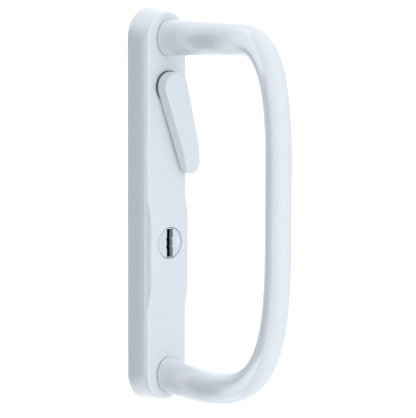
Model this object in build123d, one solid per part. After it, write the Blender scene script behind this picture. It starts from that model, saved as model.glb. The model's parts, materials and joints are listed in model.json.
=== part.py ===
from build123d import *
import os
from math import asin, cos, degrees, radians, sin, sqrt, tan

# White pull handle for a sliding patio door, with a snib lever and a key cylinder.
# Sizes are in millimetres. Each piece is drawn with x across the door, y up and z out of
# the door's face, and is turned at the end so that the front looks along -Y with +Z up.

# Escutcheon
PLATE_HEIGHT = 181.2
PLATE_WIDTH = 26.6
PLATE_DEPTH = 12.2
PLATE_DRAFT = 8.0
PLATE_WALL = 2.2
PLATE_EDGE_RADIUS = 1.2
RIB_THICKNESS = 1.6
RIB_BACK = 5.0
UPPER_RIB_INSET = 70.6
LOWER_RIB_INSET = 30.6

# Raised middle of the escutcheon round the key cylinder
RISE_HEIGHT = 2.1
RISE_ABOVE_KEY = 9.7
RISE_BELOW_KEY = 18.4
RISE_RAMP = 15.0

# Tapped bosses for the screws that come through the door
FIXING_INSET = 52.6
FIXING_BOSS_RADIUS = 4.5
FIXING_TAP_RADIUS = 2.1
FIXING_TAP_DEPTH = 9.0

# D pull: a straight upper leg, a tight upper bend, a straight grip and one long lower bend.
# Flares are in degrees, and a taper is the share of its bend over which the bar thins.
FOOT_INSET = 13.2
FOOT_HALF_HEIGHT = 8.2
FOOT_HALF_WIDTH = 6.5
FOOT_CHAMFER = 0.6
KNEE_HALF_HEIGHT = 7.1
GRIP_RADIUS = 6.0
GRIP_REACH = 71.8
UPPER_FLARE = 2.9
UPPER_BEND_OUT = 23.4
UPPER_BEND_DOWN = 54.9
UPPER_FULLNESS = 0.7
UPPER_TAPER = 0.52
LOWER_FLARE = 6.9
LOWER_BEND_UP = 77.1
LOWER_FULLNESS = 0.81
LOWER_TAPER = 0.6
PULL_SECTION_PITCH = 8.0

# Screws that hold the pull from behind
SPIGOT_RADIUS = 4.5
SPIGOT_LENGTH = 1.8
PULL_BOSS_RADIUS = 7.0
PULL_BOSS_BACK = 5.0
PULL_SCREW_RADIUS = 2.5
PULL_SCREW_GRIP = 14.0
PULL_TAP_RADIUS = 2.52
PULL_TAP_SPARE = 2.0
PULL_HEAD_RADIUS = 4.4
PULL_HEAD_HEIGHT = 3.0
PULL_HEAD_DOME = 0.7
PULL_SOCKET_ACROSS = 3.0
PULL_SOCKET_DEPTH = 1.8
PULL_WASHER_RADIUS = 4.6
PULL_WASHER_THICKNESS = 1.2
PULL_WASHER_SPLIT = 0.8

# Snib lever
LEVER_INSET = 35.2
LEVER_REST = 17.6
LEVER_THROW = 32.0
LEVER_HEAD_RADIUS = 6.75
LEVER_TIP_RADIUS = 4.55
LEVER_LENGTH = 38.0
LEVER_THICKNESS = 5.7
LEVER_EDGE_RADIUS = 1.0
TIP_FACET_LENGTH = 10.8
TIP_FACET_DROP = 2.7
HUB_RADIUS = 4.45
HUB_BACK = 3.6

# Bearing and retainer of the lever
LEVER_BOSS_RADIUS = 10.2
LEVER_BOSS_BACK = 7.0
BUSH_RADIUS = 6.0
BUSH_FLANGE_RADIUS = 7.1
BUSH_FLANGE = 1.0
THRUST_RADIUS = 6.6
THRUST_THICKNESS = 0.8
SPRING_RADIUS = 6.0
SPRING_HEIGHT = 0.85
SPRING_THICKNESS = 0.4
CIRCLIP_GROOVE_RADIUS = 3.7
CIRCLIP_RADIUS = 5.5
CIRCLIP_THICKNESS = 0.8
CIRCLIP_GAP = 2.6
CIRCLIP_LUG_RADIUS = 1.15
CIRCLIP_LUG_HOLE = 0.5

# Spindle, its cross pin and the stop plate
SPINDLE_ACROSS = 4.0
SPINDLE_FRONT = 11.5
SPINDLE_BEHIND = 9.5
SPINDLE_CHAMFER = 0.5
SPINDLE_PIN_RADIUS = 0.8
SPINDLE_PIN_OUT = 9.5
STOP_PLATE_RADIUS = 5.0
STOP_PLATE_THICKNESS = 1.5
STOP_TAB_REACH = 9.4
STOP_TAB_WIDTH = 4.0
STOP_POST_RADIUS = 1.4
STOP_POST_CIRCLE = 8.3

# Key cylinder
KEY_INSET = 74.4
KEY_HOLE_RADIUS = 7.25
KEY_HOLE_BREAK = 0.25
KEY_RECESS = 0.5
KEY_BOSS_RADIUS = 10.4
KEY_BOSS_BACK = 2.4
SHELL_RADIUS = 8.3
SHELL_FLATS = 14.8
SHELL_BEHIND = 1.0
SHELL_GROOVE_RADIUS = 7.0
CLIP_LIP = 0.9
CLIP_THICKNESS = 1.2
PLUG_HEAD_RADIUS = 6.9
PLUG_HEAD_THICKNESS = 4.2
PLUG_RADIUS = 5.9
PLUG_BEHIND = 4.4
PLUG_CLIP_RADIUS = 7.2
PLUG_CLIP_THICKNESS = 0.6
PLUG_CLIP_GAP = 5.0
PLUG_GROOVE_RADIUS = 5.2
KEYWAY_WIDTH = 3.6
KEYWAY_MOUTH_HEIGHT = 13.0
KEYWAY_HEIGHT = 10.0
KEYWAY_END = -0.6
WARD_DEPTH = 0.25
WARD_HEIGHT = 1.0
WARD_SPACING = 3.9
COIN_WIDTH = 10.6
COIN_HEIGHT = 4.8
COIN_DEPTH = 0.15

# Tumblers and tailpiece
WAFER_COUNT = 5
WAFER_PITCH = 2.0
WAFER_BEHIND_HEAD = 0.8
WAFER_WIDTH = 8.4
WAFER_THICKNESS = 1.0
WAFER_WINDOW_WIDTH = 4.6
WAFER_WINDOW_HEIGHT = 8.6
WAFER_LUG_REACH = 5.1
WAFER_LUG_HEIGHT = 1.2
WAFER_LUG_TOP = 2.4
WAFER_SPRING_RADIUS = 0.4
WAFER_SPRING_LENGTH = 2.6
TAILPIECE_WIDTH = 7.0
TAILPIECE_THICKNESS = 2.0
TAILPIECE_SEAT = 2.4
TAILPIECE_BEHIND = 10.0
TAILPIECE_PIN_RADIUS = 0.7
TAILPIECE_PIN_BEHIND = 3.2

# Clearances
RUNNING_CLEARANCE = 0.05
SEAT_CLEARANCE = 0.05
PIN_CLEARANCE = 0.02
SCREW_CLEARANCE = 0.25
STOP_CLEARANCE = 0.15

# Places that follow from the sizes above
INNER_DEPTH = PLATE_DEPTH - PLATE_WALL
RISE_DEPTH = PLATE_DEPTH + RISE_HEIGHT
FRONT_LIMIT = RISE_DEPTH + PLATE_WALL
UPPER_END = PLATE_HEIGHT / 2
FOOT_HEIGHT = UPPER_END - FOOT_INSET
FIXING_HEIGHT = UPPER_END - FIXING_INSET
LEVER_PIVOT = UPPER_END - LEVER_INSET
KEY_HEIGHT = KEY_INSET - UPPER_END
RIB_HEIGHTS = [UPPER_END - UPPER_RIB_INSET, LOWER_RIB_INSET - UPPER_END]
RISE_TOP = KEY_HEIGHT + RISE_ABOVE_KEY
RISE_BOTTOM = KEY_HEIGHT - RISE_BELOW_KEY
HUB_BORE_RADIUS = HUB_RADIUS + RUNNING_CLEARANCE
LEVER_BACK = PLATE_DEPTH + BUSH_FLANGE + SEAT_CLEARANCE
LEVER_FRONT = LEVER_BACK + LEVER_THICKNESS
THRUST_BACK = LEVER_BOSS_BACK - THRUST_THICKNESS
CIRCLIP_FRONT = THRUST_BACK - SPRING_HEIGHT - SEAT_CLEARANCE
CIRCLIP_BACK = CIRCLIP_FRONT - CIRCLIP_THICKNESS
STOP_PLATE_FRONT = HUB_BACK - SEAT_CLEARANCE
STOP_PLATE_BACK = STOP_PLATE_FRONT - STOP_PLATE_THICKNESS
SPIGOT_BACK = PLATE_DEPTH - SPIGOT_LENGTH
PULL_WASHER_BACK = PULL_BOSS_BACK - PULL_WASHER_THICKNESS
PLUG_FRONT = RISE_DEPTH - KEY_RECESS
PLUG_HEAD_BACK = PLUG_FRONT - PLUG_HEAD_THICKNESS
SHELL_FRONT = RISE_DEPTH - PLATE_WALL
CLIP_RADIUS = SHELL_RADIUS + CLIP_LIP
CLIP_FRONT = KEY_BOSS_BACK - SEAT_CLEARANCE
CLIP_BACK = CLIP_FRONT - CLIP_THICKNESS
PLUG_CLIP_FRONT = -SHELL_BEHIND - SEAT_CLEARANCE
PLUG_CLIP_BACK = PLUG_CLIP_FRONT - PLUG_CLIP_THICKNESS
WAFER_FIRST = PLUG_HEAD_BACK - WAFER_BEHIND_HEAD
WAFER_PLACES = [WAFER_FIRST - WAFER_PITCH * count for count in range(WAFER_COUNT)]

AT_LEVER = Pos(0, LEVER_PIVOT, 0)
WITH_LEVER = AT_LEVER * Rot(0, 0, LEVER_REST)
AT_KEY = Pos(0, KEY_HEIGHT, 0)
FEET = [Pos(0, FOOT_HEIGHT, 0), Pos(0, -FOOT_HEIGHT, 0)]
FIXINGS = [Pos(0, FIXING_HEIGHT, 0), Pos(0, -FIXING_HEIGHT, 0)]
FROM_BACK = (Align.CENTER, Align.CENTER, Align.MIN)


def rod(radius, back, front):
    """Round bar along z between two depths."""
    return Pos(0, 0, back) * Cylinder(radius, front - back, align=FROM_BACK)


def tube(radius, bore, back, front):
    """Round sleeve along z between two depths."""
    return rod(radius, back, front) - rod(bore, back, front)


def bar(width, height, back, front):
    """Rectangular bar along z between two depths."""
    return Pos(0, 0, back) * Box(width, height, front - back, align=FROM_BACK)


def cross_rod(radius, length, depth):
    """Round bar across x at one depth."""
    return Pos(0, 0, depth) * Rot(0, 90, 0) * Cylinder(radius, length)


def flatted(solid, across):
    """Solid cut to two upright flats."""
    reach = solid.bounding_box()
    return solid & bar(across, reach.size.Y, reach.min.Z, reach.max.Z)


def rim(solid, depth):
    """Edges round the front surface beyond a depth, without those that lie straight across it."""
    round_front = solid.edges().filter_by(Axis.X, reverse=True)
    return round_front.filter_by(lambda edge: edge.bounding_box().min.Z > depth)


# Escutcheon


def ramp(foot, crest):
    """Two equal arcs that join a level foot to a level crest."""
    middle = (foot + crest) / 2
    level = Vector(crest.X - foot.X, 0)
    return [TangentArc(foot, middle, tangent=level), TangentArc(crest, middle, tangent=-level)]


def side_profile(depth):
    """Side view of all that lies behind a front surface, with its rise at the key cylinder."""
    crest = depth + RISE_HEIGHT
    upper_foot = Vector(RISE_TOP + RISE_RAMP, depth)
    upper_crest = Vector(RISE_TOP, crest)
    lower_crest = Vector(RISE_BOTTOM, crest)
    lower_foot = Vector(RISE_BOTTOM - RISE_RAMP, depth)
    outline = [
        Polyline(upper_foot, (PLATE_HEIGHT, depth), (PLATE_HEIGHT, 0), (-PLATE_HEIGHT, 0),
                 (-PLATE_HEIGHT, depth), lower_foot),
        *ramp(lower_foot, lower_crest),
        Line(lower_crest, upper_crest),
        *ramp(upper_foot, upper_crest),
    ]
    return Plane.YZ * make_face(outline)


def drafted_block(inset):
    """Round-ended block under the front surface, set in by a wall's thickness."""
    outline = SlotOverall(PLATE_HEIGHT - 2 * inset, PLATE_WIDTH - 2 * inset, rotation=90)
    sides = extrude(outline, FRONT_LIMIT, taper=PLATE_DRAFT)
    return sides & extrude(side_profile(PLATE_DEPTH - inset), PLATE_WIDTH, both=True)


def stop_posts():
    """Posts that the stop plate's tab meets at the two ends of the lever's throw."""
    half_gap = STOP_TAB_WIDTH / 2 + STOP_POST_RADIUS + STOP_CLEARANCE
    swing = LEVER_THROW / 2 + degrees(asin(half_gap / STOP_POST_CIRCLE))
    post = rod(STOP_POST_RADIUS, STOP_PLATE_BACK, LEVER_BOSS_BACK)
    middle = LEVER_REST - LEVER_THROW / 2
    turns = [Rot(0, 0, middle + swing), Rot(0, 0, middle - swing)]
    return [AT_LEVER * turn * Pos(0, STOP_POST_CIRCLE, 0) * post for turn in turns]


def escutcheon():
    block = drafted_block(0)
    block = fillet(rim(block, INNER_DEPTH), PLATE_EDGE_RADIUS)
    bosses = [place * rod(PULL_BOSS_RADIUS, PULL_BOSS_BACK, FRONT_LIMIT) for place in FEET]
    bosses += [place * rod(FIXING_BOSS_RADIUS, 0, FRONT_LIMIT) for place in FIXINGS]
    rib = bar(PLATE_WIDTH, RIB_THICKNESS, RIB_BACK, FRONT_LIMIT)
    bosses += [Pos(0, height, 0) * rib for height in RIB_HEIGHTS]
    bosses += [AT_LEVER * rod(LEVER_BOSS_RADIUS, LEVER_BOSS_BACK, FRONT_LIMIT)]
    bosses += [AT_KEY * rod(KEY_BOSS_RADIUS, KEY_BOSS_BACK, FRONT_LIMIT)]
    casting = block - drafted_block(PLATE_WALL)
    for boss in bosses:
        casting += boss & block
    casting += stop_posts()
    for place in FEET:
        casting -= place * rod(PULL_SCREW_RADIUS + SCREW_CLEARANCE, PULL_BOSS_BACK, FRONT_LIMIT)
        casting -= place * rod(SPIGOT_RADIUS + SEAT_CLEARANCE, SPIGOT_BACK - SEAT_CLEARANCE, FRONT_LIMIT)
    for place in FIXINGS:
        casting -= place * rod(FIXING_TAP_RADIUS, 0, FIXING_TAP_DEPTH)
    casting -= AT_LEVER * rod(BUSH_RADIUS + SEAT_CLEARANCE, LEVER_BOSS_BACK, FRONT_LIMIT)
    casting -= AT_KEY * rod(KEY_HOLE_RADIUS, KEY_BOSS_BACK, FRONT_LIMIT)
    casting -= AT_KEY * flatted(rod(SHELL_RADIUS + SEAT_CLEARANCE, KEY_BOSS_BACK, SHELL_FRONT),
                                SHELL_FLATS + 2 * SEAT_CLEARANCE)
    mouth = casting.edges().filter_by(GeomType.CIRCLE).filter_by_position(Axis.Z, RISE_DEPTH, RISE_DEPTH)
    return chamfer(mouth, KEY_HOLE_BREAK)


# D pull and its screws


def pull_path():
    """Centre lines of the upper leg, upper bend, grip and lower bend, as up and out."""
    upper_lean = radians(UPPER_FLARE)
    lower_lean = radians(LOWER_FLARE)
    grip_out = PLATE_DEPTH + GRIP_REACH
    upper_foot = Vector(FOOT_HEIGHT, PLATE_DEPTH)
    lower_foot = Vector(-FOOT_HEIGHT, PLATE_DEPTH)
    knee = upper_foot + Vector(tan(upper_lean), 1) * (GRIP_REACH - UPPER_BEND_OUT)
    grip_top = Vector(FOOT_HEIGHT + tan(upper_lean) * GRIP_REACH - UPPER_BEND_DOWN, grip_out)
    grip_bottom = Vector(-FOOT_HEIGHT - tan(lower_lean) * GRIP_REACH + LOWER_BEND_UP, grip_out)
    knee_pull = Vector(sin(upper_lean), cos(upper_lean)) * (UPPER_FULLNESS * UPPER_BEND_OUT)
    foot_pull = Vector(-sin(lower_lean), cos(lower_lean)) * (LOWER_FULLNESS * GRIP_REACH)
    top_pull = Vector(UPPER_FULLNESS * UPPER_BEND_DOWN, 0)
    bottom_pull = Vector(-LOWER_FULLNESS * LOWER_BEND_UP, 0)
    spans = [
        Line(upper_foot, knee),
        Bezier(knee, knee + knee_pull, grip_top + top_pull, grip_top),
        Line(grip_top, grip_bottom),
        Bezier(grip_bottom, grip_bottom + bottom_pull, lower_foot + foot_pull, lower_foot),
    ]
    return [Plane.YZ * span for span in spans]


def pull_section(point, direction, half_height):
    """Section of the bar: round at the grip, and taller than wide towards the feet."""
    flare = (half_height - GRIP_RADIUS) / (FOOT_HALF_HEIGHT - GRIP_RADIUS)
    half_width = GRIP_RADIUS + (FOOT_HALF_WIDTH - GRIP_RADIUS) * flare
    upright = Vector(1, 0, 0).cross(direction)
    return Plane(origin=point, x_dir=upright, z_dir=direction) * Ellipse(half_height, half_width)


def pull_handle():
    leg, upper_bend, grip, lower_bend = pull_path()
    stretches = [
        (leg, FOOT_HALF_HEIGHT, KNEE_HALF_HEIGHT, 0, 1),
        (upper_bend, KNEE_HALF_HEIGHT, GRIP_RADIUS, 0, UPPER_TAPER),
        (grip, GRIP_RADIUS, GRIP_RADIUS, 0, 1),
        (lower_bend, GRIP_RADIUS, FOOT_HALF_HEIGHT, 1 - LOWER_TAPER, 1),
    ]
    sections = []
    for span, first, last, taper_start, taper_end in stretches:
        count = round(span.length / PULL_SECTION_PITCH)
        for step in range(count):
            share = step / count
            tapered = min(max((share - taper_start) / (taper_end - taper_start), 0), 1)
            sections.append(pull_section(span @ share, span % share, first + (last - first) * tapered))
    sections[0] = pull_section(leg @ 0, Vector(0, 0, 1), FOOT_HALF_HEIGHT)
    sections.append(pull_section(lower_bend @ 1, Vector(0, 0, -1), FOOT_HALF_HEIGHT))
    pull = loft(sections)
    feet = pull.edges().filter_by_position(Axis.Z, PLATE_DEPTH, PLATE_DEPTH)
    pull = chamfer(feet, FOOT_CHAMFER)
    tap_front = PULL_BOSS_BACK + PULL_SCREW_GRIP + PULL_TAP_SPARE
    for place in FEET:
        pull += place * rod(SPIGOT_RADIUS, SPIGOT_BACK, PLATE_DEPTH)
        pull -= place * rod(PULL_TAP_RADIUS, SPIGOT_BACK, tap_front)
    return pull


def pull_screws():
    head = rod(PULL_HEAD_RADIUS, PULL_WASHER_BACK - PULL_HEAD_HEIGHT, PULL_WASHER_BACK)
    head = fillet(head.edges().group_by(Axis.Z)[0], PULL_HEAD_DOME)
    socket = RegularPolygon(PULL_SOCKET_ACROSS / 2, 6, major_radius=False)
    head -= extrude(Pos(0, 0, PULL_WASHER_BACK - PULL_HEAD_HEIGHT) * socket, PULL_SOCKET_DEPTH)
    screw = head + rod(PULL_SCREW_RADIUS, PULL_WASHER_BACK, PULL_BOSS_BACK + PULL_SCREW_GRIP)
    return [place * screw for place in FEET]


def pull_washers():
    washer = tube(PULL_WASHER_RADIUS, PULL_SCREW_RADIUS + SCREW_CLEARANCE, PULL_WASHER_BACK, PULL_BOSS_BACK)
    split = bar(PULL_WASHER_SPLIT, PULL_WASHER_RADIUS, PULL_WASHER_BACK, PULL_BOSS_BACK)
    washer -= Pos(0, PULL_WASHER_RADIUS / 2, 0) * split
    return [place * washer for place in FEET]


# Snib lever, its bearing and its stop


def lever_outline():
    """Round head and smaller round tip joined by straight sides."""
    tip = Pos(0, -LEVER_LENGTH) * Circle(LEVER_TIP_RADIUS)
    return make_hull((Circle(LEVER_HEAD_RADIUS) + tip).edges())


def lever_side():
    """Side view of the lever, with a flat facet that falls away to the tip."""
    end = -LEVER_LENGTH - LEVER_TIP_RADIUS
    outline = Polyline(
        (end, LEVER_BACK),
        (LEVER_HEAD_RADIUS, LEVER_BACK),
        (LEVER_HEAD_RADIUS, LEVER_FRONT),
        (end + TIP_FACET_LENGTH, LEVER_FRONT),
        (end, LEVER_FRONT - TIP_FACET_DROP),
        close=True,
    )
    return Plane.YZ * make_face(outline)


def snib_lever():
    lever = extrude(Pos(0, 0, LEVER_BACK) * lever_outline(), LEVER_THICKNESS)
    lever &= extrude(lever_side(), LEVER_HEAD_RADIUS, both=True)
    lever = fillet(rim(lever, LEVER_BACK), LEVER_EDGE_RADIUS)
    lever += rod(HUB_RADIUS, HUB_BACK, LEVER_BACK)
    groove_front = CIRCLIP_FRONT + SEAT_CLEARANCE
    groove_back = CIRCLIP_BACK - SEAT_CLEARANCE
    lever -= tube(HUB_BORE_RADIUS, CIRCLIP_GROOVE_RADIUS, groove_back, groove_front)
    socket = SPINDLE_ACROSS + 2 * PIN_CLEARANCE
    lever -= bar(socket, socket, HUB_BACK, SPINDLE_FRONT + SEAT_CLEARANCE)
    lever -= cross_rod(SPINDLE_PIN_RADIUS + PIN_CLEARANCE, 2 * HUB_BORE_RADIUS, SPINDLE_PIN_OUT)
    return WITH_LEVER * lever


def lever_bush():
    bush = rod(BUSH_RADIUS, LEVER_BOSS_BACK, PLATE_DEPTH)
    bush += rod(BUSH_FLANGE_RADIUS, PLATE_DEPTH, PLATE_DEPTH + BUSH_FLANGE)
    return AT_LEVER * (bush - rod(HUB_BORE_RADIUS, LEVER_BOSS_BACK, PLATE_DEPTH + BUSH_FLANGE))


def thrust_washer():
    return AT_LEVER * tube(THRUST_RADIUS, HUB_BORE_RADIUS, THRUST_BACK, LEVER_BOSS_BACK)


def disc_spring():
    """Conical washer whose outer edge bears on the thrust washer."""
    rise = SPRING_HEIGHT - SPRING_THICKNESS
    outer_back = THRUST_BACK - SPRING_THICKNESS
    section = Polyline(
        (HUB_BORE_RADIUS, outer_back - rise),
        (SPRING_RADIUS, outer_back),
        (SPRING_RADIUS, THRUST_BACK),
        (HUB_BORE_RADIUS, THRUST_BACK - rise),
        close=True,
    )
    return AT_LEVER * revolve(Plane.XZ * make_face(section), Axis.Z)


def lever_circlip():
    """Open ring with two drilled lugs, sprung into the hub's groove."""
    ring = tube(CIRCLIP_RADIUS, CIRCLIP_GROOVE_RADIUS + PIN_CLEARANCE, CIRCLIP_BACK, CIRCLIP_FRONT)
    ring -= Pos(0, -CIRCLIP_RADIUS, 0) * bar(CIRCLIP_GAP, 2 * CIRCLIP_RADIUS, CIRCLIP_BACK, CIRCLIP_FRONT)
    lug_across = CIRCLIP_GAP / 2 + CIRCLIP_LUG_RADIUS
    lug_down = sqrt(CIRCLIP_RADIUS**2 - lug_across**2)
    for side in (-1, 1):
        lug = Pos(side * lug_across, -lug_down, 0)
        ring += lug * rod(CIRCLIP_LUG_RADIUS, CIRCLIP_BACK, CIRCLIP_FRONT)
        ring -= lug * rod(CIRCLIP_LUG_HOLE, CIRCLIP_BACK, CIRCLIP_FRONT)
    return WITH_LEVER * ring


def lever_spindle():
    spindle = bar(SPINDLE_ACROSS, SPINDLE_ACROSS, -SPINDLE_BEHIND, SPINDLE_FRONT)
    spindle = chamfer(spindle.edges().group_by(Axis.Z)[0], SPINDLE_CHAMFER)
    spindle -= cross_rod(SPINDLE_PIN_RADIUS + PIN_CLEARANCE, SPINDLE_ACROSS, SPINDLE_PIN_OUT)
    return WITH_LEVER * spindle


def spindle_pin():
    pin = cross_rod(SPINDLE_PIN_RADIUS, 2 * HUB_RADIUS, SPINDLE_PIN_OUT)
    return WITH_LEVER * (pin & rod(HUB_RADIUS - SEAT_CLEARANCE, HUB_BACK, SPINDLE_FRONT))


def stop_plate():
    plate = rod(STOP_PLATE_RADIUS, STOP_PLATE_BACK, STOP_PLATE_FRONT)
    tab = bar(STOP_TAB_WIDTH, STOP_TAB_REACH, STOP_PLATE_BACK, STOP_PLATE_FRONT)
    plate += Pos(0, STOP_TAB_REACH / 2, 0) * tab
    socket = SPINDLE_ACROSS + 2 * PIN_CLEARANCE
    return WITH_LEVER * (plate - bar(socket, socket, STOP_PLATE_BACK, STOP_PLATE_FRONT))


# Key cylinder


def keyway_outline(height):
    """Upright slot with two wards on its right side and two grooves to match on its left."""
    slot = Rectangle(KEYWAY_WIDTH, height)
    for ward in (-WARD_SPACING / 2, WARD_SPACING / 2):
        slot += Pos(-KEYWAY_WIDTH / 2, ward) * Rectangle(2 * WARD_DEPTH, WARD_HEIGHT)
        slot -= Pos(KEYWAY_WIDTH / 2, ward) * Rectangle(2 * WARD_DEPTH, WARD_HEIGHT)
    return slot


def wafer_slot(clearance):
    """Outline of one tumbler in the plug, with its lug, grown by a clearance."""
    body = Rectangle(WAFER_WIDTH + 2 * clearance, 2 * PLUG_RADIUS)
    lug_width = WAFER_LUG_REACH + clearance
    lug_bottom = WAFER_LUG_TOP - WAFER_LUG_HEIGHT
    lug = Pos(lug_width / 2, WAFER_LUG_TOP - WAFER_LUG_HEIGHT / 2)
    body += lug * Rectangle(lug_width, WAFER_LUG_HEIGHT + 2 * clearance)
    if clearance:
        pocket = Pos(lug_width / 2, lug_bottom - WAFER_SPRING_LENGTH / 2)
        body += pocket * Rectangle(lug_width, WAFER_SPRING_LENGTH)
    return body & Circle(PLUG_RADIUS)


def cylinder_shell():
    shell = flatted(rod(SHELL_RADIUS, -SHELL_BEHIND, SHELL_FRONT), SHELL_FLATS)
    shell -= rod(PLUG_HEAD_RADIUS + RUNNING_CLEARANCE, PLUG_HEAD_BACK - SEAT_CLEARANCE, SHELL_FRONT)
    shell -= rod(PLUG_RADIUS + RUNNING_CLEARANCE, -SHELL_BEHIND, SHELL_FRONT)
    groove_back = CLIP_BACK - SEAT_CLEARANCE
    groove_front = CLIP_FRONT + SEAT_CLEARANCE
    return AT_KEY * (shell - tube(SHELL_RADIUS, SHELL_GROOVE_RADIUS, groove_back, groove_front))


def cylinder_clip():
    """Horseshoe clip pushed down over the shell's groove."""
    inner = SHELL_GROOVE_RADIUS + SEAT_CLEARANCE
    clip = tube(CLIP_RADIUS, inner, CLIP_BACK, CLIP_FRONT)
    mouth = bar(2 * inner, CLIP_RADIUS, CLIP_BACK, CLIP_FRONT)
    return AT_KEY * (clip - Pos(0, -CLIP_RADIUS / 2, 0) * mouth)


def cylinder_plug():
    plug = rod(PLUG_HEAD_RADIUS, PLUG_HEAD_BACK, PLUG_FRONT) + rod(PLUG_RADIUS, -PLUG_BEHIND, PLUG_HEAD_BACK)
    coin = SlotOverall(COIN_WIDTH, COIN_HEIGHT)
    plug -= extrude(Pos(0, 0, PLUG_FRONT) * coin, -COIN_DEPTH)
    mouth = keyway_outline(KEYWAY_MOUTH_HEIGHT)
    plug -= extrude(Pos(0, 0, PLUG_FRONT) * mouth, -PLUG_HEAD_THICKNESS)
    keyway = keyway_outline(KEYWAY_HEIGHT)
    plug -= extrude(Pos(0, 0, PLUG_FRONT) * keyway, KEYWAY_END - PLUG_FRONT)
    slot_thickness = WAFER_THICKNESS + 2 * SEAT_CLEARANCE
    slot = extrude(wafer_slot(SEAT_CLEARANCE), slot_thickness / 2, both=True)
    for place in WAFER_PLACES:
        plug -= Pos(0, 0, place) * slot
    groove_back = PLUG_CLIP_BACK - SEAT_CLEARANCE
    groove_front = PLUG_CLIP_FRONT + SEAT_CLEARANCE
    plug -= tube(PLUG_RADIUS, PLUG_GROOVE_RADIUS, groove_back, groove_front)
    seat_width = TAILPIECE_WIDTH + 2 * PIN_CLEARANCE
    seat_thickness = TAILPIECE_THICKNESS + 2 * PIN_CLEARANCE
    plug -= bar(seat_thickness, seat_width, -PLUG_BEHIND, TAILPIECE_SEAT - PLUG_BEHIND)
    plug -= cross_rod(TAILPIECE_PIN_RADIUS + PIN_CLEARANCE, 2 * PLUG_RADIUS, -TAILPIECE_PIN_BEHIND)
    return AT_KEY * plug


def wafers():
    window = Rectangle(WAFER_WINDOW_WIDTH, WAFER_WINDOW_HEIGHT)
    wafer = extrude(wafer_slot(0) - window, WAFER_THICKNESS / 2, both=True)
    return [AT_KEY * Pos(0, 0, place) * wafer for place in WAFER_PLACES]


def wafer_springs():
    """Small springs under the tumblers' lugs, drawn as their outer sleeves."""
    spring_across = (WAFER_WIDTH / 2 + WAFER_LUG_REACH) / 2
    spring_top = WAFER_LUG_TOP - WAFER_LUG_HEIGHT
    length = WAFER_SPRING_LENGTH - SEAT_CLEARANCE
    spring = Rot(90, 0, 0) * Cylinder(WAFER_SPRING_RADIUS, length)
    return [AT_KEY * Pos(spring_across, spring_top - length / 2, place) * spring for place in WAFER_PLACES]


def plug_clip():
    clip = tube(PLUG_CLIP_RADIUS, PLUG_GROOVE_RADIUS + PIN_CLEARANCE, PLUG_CLIP_BACK, PLUG_CLIP_FRONT)
    mouth = bar(PLUG_CLIP_GAP, PLUG_CLIP_RADIUS, PLUG_CLIP_BACK, PLUG_CLIP_FRONT)
    return AT_KEY * (clip - Pos(0, -PLUG_CLIP_RADIUS / 2, 0) * mouth)


def tailpiece():
    blade_front = TAILPIECE_SEAT - PLUG_BEHIND - SEAT_CLEARANCE
    blade = bar(TAILPIECE_THICKNESS, TAILPIECE_WIDTH, -TAILPIECE_BEHIND, blade_front)
    corners = blade.edges().filter_by(Axis.X).group_by(Axis.Z)[0]
    blade = chamfer(corners, TAILPIECE_THICKNESS / 2)
    blade -= cross_rod(TAILPIECE_PIN_RADIUS + PIN_CLEARANCE, TAILPIECE_THICKNESS, -TAILPIECE_PIN_BEHIND)
    return AT_KEY * blade


def tailpiece_pin():
    pin = cross_rod(TAILPIECE_PIN_RADIUS, 2 * PLUG_RADIUS, -TAILPIECE_PIN_BEHIND)
    return AT_KEY * (pin & rod(PLUG_RADIUS - SEAT_CLEARANCE, -PLUG_BEHIND, 0))


PIECES = [
    escutcheon,
    pull_handle,
    pull_screws,
    pull_washers,
    snib_lever,
    lever_bush,
    thrust_washer,
    disc_spring,
    lever_circlip,
    lever_spindle,
    spindle_pin,
    stop_plate,
    cylinder_shell,
    cylinder_clip,
    cylinder_plug,
    wafers,
    wafer_springs,
    plug_clip,
    tailpiece,
    tailpiece_pin,
]

os.makedirs("parts", exist_ok=True)
for make_piece in PIECES:
    made = make_piece()
    solids = made if isinstance(made, list) else made.solids()
    placed = [Plane.XZ.location * solid for solid in solids]
    node = placed[0] if len(placed) == 1 else Compound(children=placed)
    export_step(node, f"parts/{make_piece.__name__}.step")
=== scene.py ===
import json
import math

import bpy
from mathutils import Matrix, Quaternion, Vector


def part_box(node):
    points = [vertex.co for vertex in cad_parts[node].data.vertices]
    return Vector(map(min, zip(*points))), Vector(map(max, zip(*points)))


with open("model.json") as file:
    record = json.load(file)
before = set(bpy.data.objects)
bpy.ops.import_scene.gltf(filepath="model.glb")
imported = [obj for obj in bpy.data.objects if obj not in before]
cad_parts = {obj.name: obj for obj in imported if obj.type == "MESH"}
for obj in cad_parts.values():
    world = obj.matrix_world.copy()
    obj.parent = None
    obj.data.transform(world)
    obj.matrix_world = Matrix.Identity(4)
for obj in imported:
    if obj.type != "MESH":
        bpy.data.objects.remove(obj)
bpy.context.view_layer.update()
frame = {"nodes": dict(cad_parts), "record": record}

# Lengths are in metres and colours are linear. The door's face is the plane Y = 0, and the front faces -Y.

# Camera, worked out from the photograph's frame
IMAGE_WIDTH = 416
IMAGE_HEIGHT = 418
CAMERA_AZIMUTH = -42.4
CAMERA_ELEVATION = 8.7
CAMERA_ROLL = 0.15
FOCAL_PIXELS = 3000.0
PIXELS_PER_METRE = 2200.0
PLATE_FRONT_PIXEL = (167.4, 207.35)
PLATE_FRONT = Vector((0.0, -0.0122, 0.0))
SENSOR = 36.0

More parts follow.
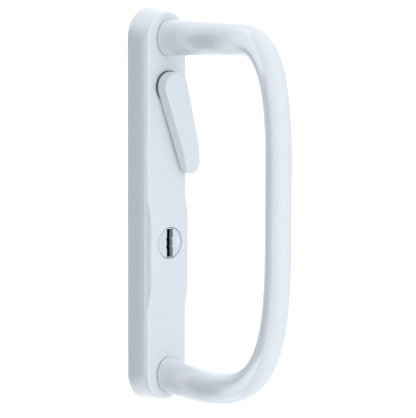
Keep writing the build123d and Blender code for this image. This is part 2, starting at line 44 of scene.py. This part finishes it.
# Colours of the finishes, and of the painted shade at the pull's feet, in the keyway and on the wafers
WHITE_COAT = (0.745, 0.785, 0.825)
# Painted shadow line where the pull's feet meet the escutcheon
FOOT_SHADE_DARK = (0.20, 0.24, 0.28)
NICKEL = (0.93, 0.97, 1.00)
DULL_NICKEL = (0.43, 0.485, 0.575)
# Near black: painted shade in the depth of the keyway
KEYWAY_SHADE = (0.004, 0.004, 0.005)
ZINC = (0.60, 0.61, 0.62)
SPRING_STEEL = (0.13, 0.13, 0.14)
BRASS = (0.70, 0.50, 0.19)
# Brass darkened to near black: painted shade on the wafers deep in the keyway
SHADED_BRASS = (0.022, 0.019, 0.013)
BLACK_NYLON = (0.100, 0.115, 0.138)

# Values of a noise texture between which a finish goes from one end of its range to the other
NOISE_RANGE = (0.3, 0.7)

# Depths behind the escutcheon's front over which the painted shadow line at the pull's feet fades; less
# than zero is in front of it
FOOT_SHADE_DEPTHS = (-0.0002, -0.0008)

# Depths behind the plug's face where its plate turns dull and where its keyway turns to painted near-black
# shade, and behind the shell's front where its plate ends
MOUTH_DEPTHS = (0.0002, 0.0005)
KEYWAY_SHADE_DEPTHS = (0.0020, 0.0022)
SHELL_DEPTHS = (0.0040, 0.0042)

# Roughness that the dull plate has beyond the bright one
MOUTH_ROUGHER = 0.3

# Floor
FLOOR_DROP = 0.22
FLOOR_SIZE = 8.0
FLOOR_WHITE = (0.75, 0.75, 0.75)
FLOOR_ROUGHNESS = 0.9
FLOOR_LIFT = 0.6

# Room: an even fill, and the light that each direction adds to it
FILL_LIGHT = (0.100, 0.130, 0.160)
LOBE_START = 0.35
ROOM_LIGHTS = [
    ((0, 0, 1), 0.60),
    ((0, 0, -1), 0.58),
    ((0, -1, 0), 0.42),
    ((0, -1, 1), 0.49),
    ((1, 1, 1), 0.76),
    ((1, 1, -1), 0.45),
    ((1, -1, -1), 0.54),
    ((-1, -1, 0), 0.19),
    ((-1, -1, 1), 0.30),
    ((-1, -1, -1), 0.31),
]

# Room that shows in the gloss: its mean level, and how much that grows along each axis
GLOSS_LIGHT = (1.37, 1.41, 1.48)
GLOSS_SLOPE = (-0.55, 0.40, -0.20)

# Panels that show only in the gloss: rectangles (left, right, low, high), parallel to the door and some
# way out from it. Light that changes is a list of distances with the colour at each, up to the length of
# a gradient. The pull's feet are one foot height above and below the middle.
FOOT_HEIGHT = 0.0774
GRADIENT_LENGTH = 0.40

# Wall panel, at the door's face to the left of the plate: light by the distance from the plate's axis,
# and the heights over which it changes to the light beyond the plate's ends
WALL_PANEL = [(-0.0275, -0.0138, -0.12, 0.12)]
WALL_PANEL_OUT = 0.0
WALL_PANEL_LIGHT = [(0.0236, (0.12, 0.15, 0.20)), (0.0250, (0.75, 0.76, 0.78))]
WALL_PANEL_ENDS = (0.078, 0.090)
WALL_PANEL_END_LIGHT = (1.72, 1.77, 1.84)

# Front panel, in front of the plate: one light, and the distances from the plate's axis and its middle
# over which it fades in from the left and from the ends
FRONT_PANEL = [(-0.022, 0.0135, -0.064, 0.064)]
FRONT_PANEL_OUT = 0.0215
FRONT_PANEL_LIGHT = (1.80, 1.88, 1.98)
FRONT_PANEL_LEFT = (0.022, 0.013)
FRONT_PANEL_ENDS = (0.064, 0.052)

# Leg panel, to the left of the plate and past its ends: light by the distance from the foot of the nearer
# leg, straight to the left of it and well aside, and by the distance from the plate's axis between the legs
LEG_PANEL = [
    (-0.40, -0.0126, -0.25, 0.25),
    (-0.0126, 0.0, 0.0784, 0.25),
    (-0.0126, 0.0, -0.25, -0.0784),
]
LEG_PANEL_OUT = 0.0105
FACING_LEG = [
    (0.0150, (1.00, 1.02, 1.06)),
    (0.0186, (1.02, 1.04, 1.07)),
    (0.0190, (1.95, 1.90, 1.80)),
    (0.0235, (1.68, 1.66, 1.58)),
    (0.0285, (0.86, 0.88, 0.94)),
    (0.0365, (0.52, 0.55, 0.61)),
    (0.0430, (0.88, 0.95, 1.06)),
    (0.0500, (2.05, 2.12, 2.22)),
    (0.0580, (3.15, 3.20, 3.28)),
    (0.0750, (3.42, 3.50, 3.60)),
]
ASIDE_OF_LEG = [
    (0.0170, (1.22, 1.30, 1.40)),
    (0.0260, (1.92, 1.97, 2.02)),
    (0.0380, (1.58, 1.65, 1.75)),
    (0.0490, (1.98, 2.05, 2.20)),
    (0.0800, (2.62, 2.70, 2.82)),
]
BETWEEN_LEGS = [
    (0.0130, (1.45, 1.52, 1.62)),
    (0.0300, (1.16, 1.24, 1.36)),
    (0.0700, (0.96, 1.04, 1.16)),
    (0.1600, (1.05, 1.15, 1.28)),
]

# Rings round a foot: how far the inner ones widen per radian, the depths over which they give way to the
# outer ones, and the angle over which the outer ones shift on the side toward the other leg
CRESCENT_TURN = 0.008
RING_DEPTHS = (0.030, 0.045)
TOWARD_TURN = 0.14

# Blurs of the borders between the panel's halves and its lights, and the angle over which a leg's light
# turns to that aside of it
SIDE_BLUR = 0.001
EDGE_BLUR = 0.008
RING_BLUR = 0.004
ASIDE_TURN = 0.75

# Each leg: the angle where its light starts to turn, the height and slope of the border with the light
# between the legs, the radius round its foot inside that border, and the outer rings' shift away from
# the other leg, per radian, and toward it
UPPER = {"aside": 0.10, "edge": 0.045, "slope": 0.14, "ring": 0.0570, "away": 0.0, "toward": 0.0}
LOWER = {"aside": 0.35, "edge": 0.050, "slope": 0.43, "ring": 0.0330, "away": 0.012, "toward": -0.007}


# Node helpers


def new_material(name):
    material = bpy.data.materials.new(name)
    material.use_nodes = True
    tree = material.node_tree
    return material, tree, tree.nodes["Principled BSDF"]


def add(tree, kind, **values):
    """New node with some of its inputs or properties set."""
    node = tree.nodes.new(kind)
    for key, value in values.items():
        if key in node.inputs:
            node.inputs[key].default_value = value
        else:
            setattr(node, key, value)
    return node


def calculate(tree, operation, first, second=0.0):
    """Result of one operation on two values, each a number or a socket."""
    node = add(tree, "ShaderNodeMath", operation=operation)
    for socket, value in zip(node.inputs, (first, second)):
        if isinstance(value, float):
            socket.default_value = value
        else:
            tree.links.new(value, socket)
    return node.outputs["Value"]


def remap(tree, value, start, stop, low, high, smooth=False):
    """A value between start and stop, spread between low and high."""
    node = add(tree, "ShaderNodeMapRange")
    node.interpolation_type = "SMOOTHSTEP" if smooth else "LINEAR"
    node.inputs["From Min"].default_value = start
    node.inputs["From Max"].default_value = stop
    node.inputs["To Min"].default_value = low
    node.inputs["To Max"].default_value = high
    tree.links.new(value, node.inputs["Value"])
    return node.outputs["Result"]


def distance(tree, first, second):
    """Length of the long side of a right-angled triangle."""
    join = add(tree, "ShaderNodeCombineXYZ")
    length = add(tree, "ShaderNodeVectorMath", operation="LENGTH")
    tree.links.new(first, join.inputs["X"])
    tree.links.new(second, join.inputs["Y"])
    tree.links.new(join.outputs["Vector"], length.inputs[0])
    return length.outputs["Value"]


def object_axes(tree):
    """Sockets X, Y and Z of the place in object space, which is the CAD's frame at rest."""
    place = add(tree, "ShaderNodeTexCoord")
    split = add(tree, "ShaderNodeSeparateXYZ")
    tree.links.new(place.outputs["Object"], split.inputs["Vector"])
    return split.outputs


def noise(tree, scale, detail=3.0, stretch=(1, 1, 1)):
    """Noise in object space, in lumps of about 1/scale metres."""
    place = add(tree, "ShaderNodeTexCoord")
    mapping = add(tree, "ShaderNodeMapping", Scale=stretch)
    texture = add(tree, "ShaderNodeTexNoise", Scale=scale, Detail=detail)
    tree.links.new(place.outputs["Object"], mapping.inputs["Vector"])
    tree.links.new(mapping.outputs["Vector"], texture.inputs["Vector"])
    return texture.outputs["Fac"]


def spread(tree, texture, low, high):
    """A noise texture's values, spread between low and high."""
    return remap(tree, texture, *NOISE_RANGE, low, high)


def mix_colours(tree, factor, first, second):
    """Colour between two, each a colour or a socket."""
    node = add(tree, "ShaderNodeMix", data_type="RGBA")
    sockets = [socket for socket in node.inputs if socket.type == "RGBA"]
    tree.links.new(factor, node.inputs["Factor"])
    for socket, colour in zip(sockets, (first, second)):
        if isinstance(colour, tuple):
            socket.default_value = (*colour, 1)
        else:
            tree.links.new(colour, socket)
    return [socket for socket in node.outputs if socket.type == "RGBA"][0]


def mottle(tree, texture, colour, darkest):
    """Colour that a noise texture darkens in places, down to a share of itself."""
    dark = tuple(channel * darkest for channel in colour)
    return mix_colours(tree, spread(tree, texture, 0, 1), dark, colour)


def bump(tree, texture, strength, depth):
    node = add(tree, "ShaderNodeBump", Strength=strength, Distance=depth)
    tree.links.new(texture, node.inputs["Height"])
    return node.outputs["Normal"]


def gradient(tree, length, stops):
    """Colour that changes with a length in metres."""
    ramp = add(tree, "ShaderNodeValToRGB")
    elements = ramp.color_ramp.elements
    elements.remove(elements[1])
    for index, (place, colour) in enumerate(stops):
        element = elements.new(place / GRADIENT_LENGTH) if index else elements[0]
        element.position = place / GRADIENT_LENGTH
        element.color = (*colour, 1)
    tree.links.new(calculate(tree, "DIVIDE", length, GRADIENT_LENGTH), ramp.inputs["Fac"])
    return ramp.outputs["Color"]


# Finishes


def front_of(name):
    """Y of the foremost point of a CAD node."""
    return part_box(name)[0][1]


def depth_behind(tree, front):
    """Distance behind a plane parallel to the door, given by its Y."""
    return calculate(tree, "SUBTRACT", object_axes(tree)["Y"], front)


def recolour_end(material, colour, front, depths):
    """Gives one end of a finish a colour, which fades between two depths behind a plane."""
    tree = material.node_tree
    base = tree.nodes["Principled BSDF"].inputs["Base Color"]
    own_colour = base.links[0].from_socket
    past_end = remap(tree, depth_behind(tree, front), *depths, 0, 1)
    tree.links.new(mix_colours(tree, past_end, colour, own_colour), base)
    return material


def white_coat(name):
    """Gloss powder coat: even white under a clear skin with a slight orange peel."""
    material, tree, shader = new_material(name)
    white = mottle(tree, noise(tree, scale=80, detail=2.0), WHITE_COAT, darkest=0.98)
    roughness = spread(tree, noise(tree, scale=500), low=0.30, high=0.38)
    peel = bump(tree, noise(tree, scale=900, detail=1.0), strength=0.05, depth=0.0001)
    tree.links.new(white, shader.inputs["Base Color"])
    tree.links.new(roughness, shader.inputs["Roughness"])
    tree.links.new(peel, shader.inputs["Coat Normal"])
    shader.inputs["Specular IOR Level"].default_value = 0.0
    shader.inputs["Coat Weight"].default_value = 1.0
    shader.inputs["Coat IOR"].default_value = 1.8
    shader.inputs["Coat Roughness"].default_value = 0.05
    return material


def foot_shadow_coat():
    """The white coat with a painted shadow line where the pull's feet meet the escutcheon."""
    return recolour_end(white_coat("foot_shadow_coat"), FOOT_SHADE_DARK, PLATE_FRONT.y, FOOT_SHADE_DEPTHS)


def metal(name, colour, smooth, rough, scale, stretch=(1, 1, 1)):
    """Bare or plated metal with fine streaks in its tone, gloss and height."""
    material, tree, shader = new_material(name)
    shader.inputs["Metallic"].default_value = 1.0
    streaks = noise(tree, scale, detail=4.0, stretch=stretch)
    tree.links.new(mottle(tree, streaks, colour, darkest=0.85), shader.inputs["Base Color"])
    tree.links.new(spread(tree, streaks, smooth, rough), shader.inputs["Roughness"])
    tree.links.new(bump(tree, streaks, strength=0.15, depth=0.00004), shader.inputs["Normal"])
    return material


def plated_shell():
    """Turned brass with a dull plated front end."""
    brass = metal("plated_shell", BRASS, smooth=0.22, rough=0.36, scale=300, stretch=(1, 14, 1))
    return recolour_end(brass, DULL_NICKEL, front_of("cylinder_shell"), SHELL_DEPTHS)


def plated_plug():
    """Bright plate on the plug's face, dull in the mouth of the keyway, and painted near-black shade in its
    depth.
    """
    material, tree, shader = new_material("plated_plug")
    depth = depth_behind(tree, front_of("cylinder_plug"))
    mouth = remap(tree, depth, *MOUTH_DEPTHS, 0, 1)
    shaded_depth = remap(tree, depth, *KEYWAY_SHADE_DEPTHS, 0, 1)
    streaks = noise(tree, scale=900, detail=4.0, stretch=(1, 1, 6))
    bright = mottle(tree, streaks, NICKEL, darkest=0.96)
    plate = mix_colours(tree, mouth, bright, DULL_NICKEL)
    polish = spread(tree, streaks, low=0.10, high=0.18)
    duller = calculate(tree, "MULTIPLY", mouth, MOUTH_ROUGHER)
    # Past the plated depths the keyway is painted near black as shade
    tree.links.new(mix_colours(tree, shaded_depth, plate, KEYWAY_SHADE), shader.inputs["Base Color"])
    tree.links.new(remap(tree, mouth, 0, 1, 1, 0), shader.inputs["Metallic"])
    tree.links.new(calculate(tree, "ADD", polish, duller), shader.inputs["Roughness"])
    tree.links.new(bump(tree, streaks, strength=0.06, depth=0.00001), shader.inputs["Normal"])
    shader.inputs["Specular IOR Level"].default_value = 0.15
    return material


def black_nylon():
    """Moulded plastic, uneven in tone, with a fine grain."""
    material, tree, shader = new_material("black_nylon")
    black = mottle(tree, noise(tree, scale=400), BLACK_NYLON, darkest=0.7)
    roughness = spread(tree, noise(tree, scale=1200), low=0.45, high=0.6)
    grain = bump(tree, noise(tree, scale=2500), strength=0.1, depth=0.00005)
    tree.links.new(black, shader.inputs["Base Color"])
    tree.links.new(roughness, shader.inputs["Roughness"])
    tree.links.new(grain, shader.inputs["Normal"])
    return material


def dress_nodes():
    """Gives every CAD node a finish of its own, or that of its material slot."""
    node_finishes = {
        # The pull's coat carries a painted shadow line at its feet
        "pull_handle": foot_shadow_coat(),
        "cylinder_shell": plated_shell(),
        # The wafers are brass darkened to near black: painted shade deep in the keyway
        "wafers": metal("shaded_brass", SHADED_BRASS, smooth=0.40, rough=0.55, scale=300),
    }
    slot_finishes = {
        "white_coat": white_coat("white_coat"),
        "plated_plug": plated_plug(),
        "zinc_steel": metal("zinc_steel", ZINC, smooth=0.30, rough=0.48, scale=500),
        "spring_steel": metal("spring_steel", SPRING_STEEL, smooth=0.34, rough=0.5, scale=800),
        "black_nylon": black_nylon(),
    }
    for entry in frame["record"]["subparts"]:
        name = entry["node"]
        materials = frame["nodes"][name].data.materials
        materials.clear()
        materials.append(node_finishes.get(name) or slot_finishes[entry["material_slot"]])


# Floor


def make_floor():
    """Pale floor well below the handle; it reads as white where no shadow falls on it."""
    bpy.ops.mesh.primitive_plane_add(size=FLOOR_SIZE, location=(0, 0, -FLOOR_DROP))
    floor = bpy.context.object
    floor.name = "floor"
    material, tree, shader = new_material("floor")
    shader.inputs["Base Color"].default_value = (*FLOOR_WHITE, 1)
    shader.inputs["Roughness"].default_value = FLOOR_ROUGHNESS
    shader.inputs["Emission Color"].default_value = (1, 1, 1, 1)
    path = add(tree, "ShaderNodeLightPath")
    lift = calculate(tree, "MULTIPLY", path.outputs["Is Camera Ray"], FLOOR_LIFT)
    tree.links.new(lift, shader.inputs["Emission Strength"])
    floor.data.materials.append(material)
    floor.visible_diffuse = False
    floor.visible_glossy = False


# Panels in the gloss


def gloss_panel(name, rectangles, out):
    """Upright glowing panel, parallel to the door, that shows only in the gloss."""
    mesh = bpy.data.meshes.new(name)
    corners = []
    for left, right, low, high in rectangles:
        corners += [(left, -out, low), (right, -out, low), (right, -out, high), (left, -out, high)]
    mesh.from_pydata(corners, [], [range(first, first + 4) for first in range(0, len(corners), 4)])
    panel = bpy.data.objects.new(name, mesh)
    bpy.context.collection.objects.link(panel)
    panel.visible_camera = False
    panel.visible_diffuse = False
    panel.visible_shadow = False
    panel.visible_transmission = False
    material = bpy.data.materials.new(name)
    material.use_nodes = True
    mesh.materials.append(material)
    tree = material.node_tree
    tree.nodes.clear()
    glow = add(tree, "ShaderNodeEmission")
    output = add(tree, "ShaderNodeOutputMaterial")
    tree.links.new(glow.outputs["Emission"], output.inputs["Surface"])
    return tree, glow


def panel_place(tree):
    """How far a point of a panel is to the left of the plate's axis, and how high."""
    axes = object_axes(tree)
    return calculate(tree, "MULTIPLY", axes["X"], -1.0), axes["Z"]


def make_wall_panel():
    """Darkens the back of the plate's left wall and lights its front."""
    tree, glow = gloss_panel("wall_panel", WALL_PANEL, WALL_PANEL_OUT)
    across, height = panel_place(tree)
    from_middle = calculate(tree, "ABSOLUTE", height)
    past_foot = calculate(tree, "MAXIMUM", calculate(tree, "SUBTRACT", from_middle, FOOT_HEIGHT), 0.0)
    beside = gradient(tree, distance(tree, across, past_foot), WALL_PANEL_LIGHT)
    beyond = remap(tree, from_middle, *WALL_PANEL_ENDS, 0, 1, smooth=True)
    tree.links.new(mix_colours(tree, beyond, beside, WALL_PANEL_END_LIGHT), glow.inputs["Color"])


def make_leg_panel():
    """Lights the legs in rings round each foot, and the grip evenly between them."""
    tree, glow = gloss_panel("leg_panel", LEG_PANEL, LEG_PANEL_OUT)
    across, height = panel_place(tree)
    from_middle = calculate(tree, "ABSOLUTE", height)
    above_foot = calculate(tree, "SUBTRACT", from_middle, FOOT_HEIGHT)
    from_foot = distance(tree, across, above_foot)
    angle = calculate(tree, "ARCTAN2", above_foot, across)

    def by_side(key):
        """Value for the nearer leg."""
        return remap(tree, height, -SIDE_BLUR, SIDE_BLUR, LOWER[key], UPPER[key])

    def product(first, second):
        return calculate(tree, "MULTIPLY", first, second)

    # Rings of light that face a leg
    inner_shift = product(calculate(tree, "ABSOLUTE", angle), CRESCENT_TURN)
    away = product(calculate(tree, "MAXIMUM", angle, 0.0), by_side("away"))
    toward = product(remap(tree, angle, -TOWARD_TURN, 0, 1, 0), by_side("toward"))
    outer_shift = calculate(tree, "ADD", away, toward)
    shift = add(tree, "ShaderNodeMix")
    tree.links.new(remap(tree, from_foot, *RING_DEPTHS, 0, 1), shift.inputs["Factor"])
    tree.links.new(inner_shift, shift.inputs["A"])
    tree.links.new(outer_shift, shift.inputs["B"])
    ring = calculate(tree, "SUBTRACT", from_foot, shift.outputs["Result"])
    facing = gradient(tree, ring, FACING_LEG)

    # Light near a leg, which changes well aside of it
    turned = calculate(tree, "SUBTRACT", angle, by_side("aside"))
    aside = remap(tree, turned, 0, ASIDE_TURN, 0, 1, smooth=True)
    by_leg = mix_colours(tree, aside, facing, gradient(tree, from_foot, ASIDE_OF_LEG))

    # Border with the light between the legs
    edge = calculate(tree, "ADD", by_side("edge"), product(across, by_side("slope")))
    past_edge = calculate(tree, "SUBTRACT", from_middle, edge)
    beside = remap(tree, past_edge, -EDGE_BLUR, EDGE_BLUR, 0, 1, smooth=True)
    past_ring = calculate(tree, "SUBTRACT", from_foot, by_side("ring"))
    in_ring = remap(tree, past_ring, -RING_BLUR, RING_BLUR, 1, 0, smooth=True)
    near_leg = calculate(tree, "MAXIMUM", beside, in_ring)
    light = mix_colours(tree, near_leg, gradient(tree, across, BETWEEN_LEGS), by_leg)
    tree.links.new(light, glow.inputs["Color"])


def make_front_panel():
    """Lights the underside of the upper leg and the insides of the bends, from its front face only."""
    tree, glow = gloss_panel("front_panel", FRONT_PANEL, FRONT_PANEL_OUT)
    glow.inputs["Color"].default_value = (*FRONT_PANEL_LIGHT, 1)
    across, height = panel_place(tree)
    from_middle = calculate(tree, "ABSOLUTE", height)
    left = remap(tree, across, *FRONT_PANEL_LEFT, 0, 1, smooth=True)
    ends = remap(tree, from_middle, *FRONT_PANEL_ENDS, 0, 1, smooth=True)
    side = add(tree, "ShaderNodeNewGeometry")
    front = calculate(tree, "SUBTRACT", 1.0, side.outputs["Backfacing"])
    shown = calculate(tree, "MULTIPLY", calculate(tree, "MULTIPLY", left, ends), front)
    clear = add(tree, "ShaderNodeBsdfTransparent")
    blend = add(tree, "ShaderNodeMixShader")
    tree.links.new(shown, blend.inputs["Fac"])
    tree.links.new(clear.outputs["BSDF"], blend.inputs[1])
    tree.links.new(glow.outputs["Emission"], blend.inputs[2])
    tree.links.new(blend.outputs["Shader"], tree.nodes["Material Output"].inputs["Surface"])


# World and camera


def along(tree, vector):
    """Dot product of the world's direction with a vector."""
    place = add(tree, "ShaderNodeTexCoord")
    dot = add(tree, "ShaderNodeVectorMath", operation="DOT_PRODUCT")
    dot.inputs[1].default_value = vector
    tree.links.new(place.outputs["Generated"], dot.inputs[0])
    return dot.outputs["Value"]


def lobe(tree, toward, amount):
    """Light that comes from round one direction."""
    return remap(tree, along(tree, Vector(toward).normalized()), LOBE_START, 1, 0, amount, smooth=True)


def tinted(tree, colour, amount):
    """A colour with the same amount added to each channel."""
    total = add(tree, "ShaderNodeVectorMath", operation="ADD")
    total.inputs[0].default_value = colour
    tree.links.new(amount, total.inputs[1])
    return total.outputs["Vector"]


def make_world():
    """White to the camera; a soft studio, dim at the left; a plain bright room in the gloss."""
    world = bpy.data.worlds.new("room")
    bpy.context.scene.world = world
    world.use_nodes = True
    tree = world.node_tree
    light = 0.0
    for toward, amount in ROOM_LIGHTS:
        light = calculate(tree, "ADD", light, lobe(tree, toward, amount))
    studio = tinted(tree, FILL_LIGHT, light)
    gloss = tinted(tree, GLOSS_LIGHT, along(tree, GLOSS_SLOPE))
    path = add(tree, "ShaderNodeLightPath")
    room = mix_colours(tree, path.outputs["Is Glossy Ray"], studio, gloss)
    seen = mix_colours(tree, path.outputs["Is Camera Ray"], room, (1.0, 1.0, 1.0))
    tree.links.new(seen, tree.nodes["Background"].inputs["Color"])


def make_camera():
    """Long lens at the photograph's angle, with the plate's front at its place in the frame."""
    azimuth = math.radians(CAMERA_AZIMUTH)
    elevation = math.radians(CAMERA_ELEVATION)
    level = math.cos(elevation)
    back = Vector((math.sin(azimuth) * level, -math.cos(azimuth) * level, math.sin(elevation)))
    right = Vector((math.cos(azimuth), math.sin(azimuth), 0))
    up = back.cross(right)
    across = (IMAGE_WIDTH / 2 - PLATE_FRONT_PIXEL[0]) / PIXELS_PER_METRE
    down = (IMAGE_HEIGHT / 2 - PLATE_FRONT_PIXEL[1]) / PIXELS_PER_METRE
    place = PLATE_FRONT + back * (FOCAL_PIXELS / PIXELS_PER_METRE)
    aim = PLATE_FRONT + right * across - up * down
    turn = (aim - place).to_track_quat("-Z", "Y") @ Quaternion((0, 0, 1), math.radians(CAMERA_ROLL))
    data = bpy.data.cameras.new("camera")
    data.sensor_width = SENSOR
    data.lens = FOCAL_PIXELS * SENSOR / max(IMAGE_WIDTH, IMAGE_HEIGHT)
    camera = bpy.data.objects.new("camera", data)
    camera.location = place
    camera.rotation_euler = turn.to_euler()
    bpy.context.collection.objects.link(camera)
    bpy.context.scene.camera = camera


dress_nodes()
make_floor()
make_wall_panel()
make_leg_panel()
make_front_panel()
make_world()
make_camera()
bpy.context.scene.view_settings.view_transform = "Standard"
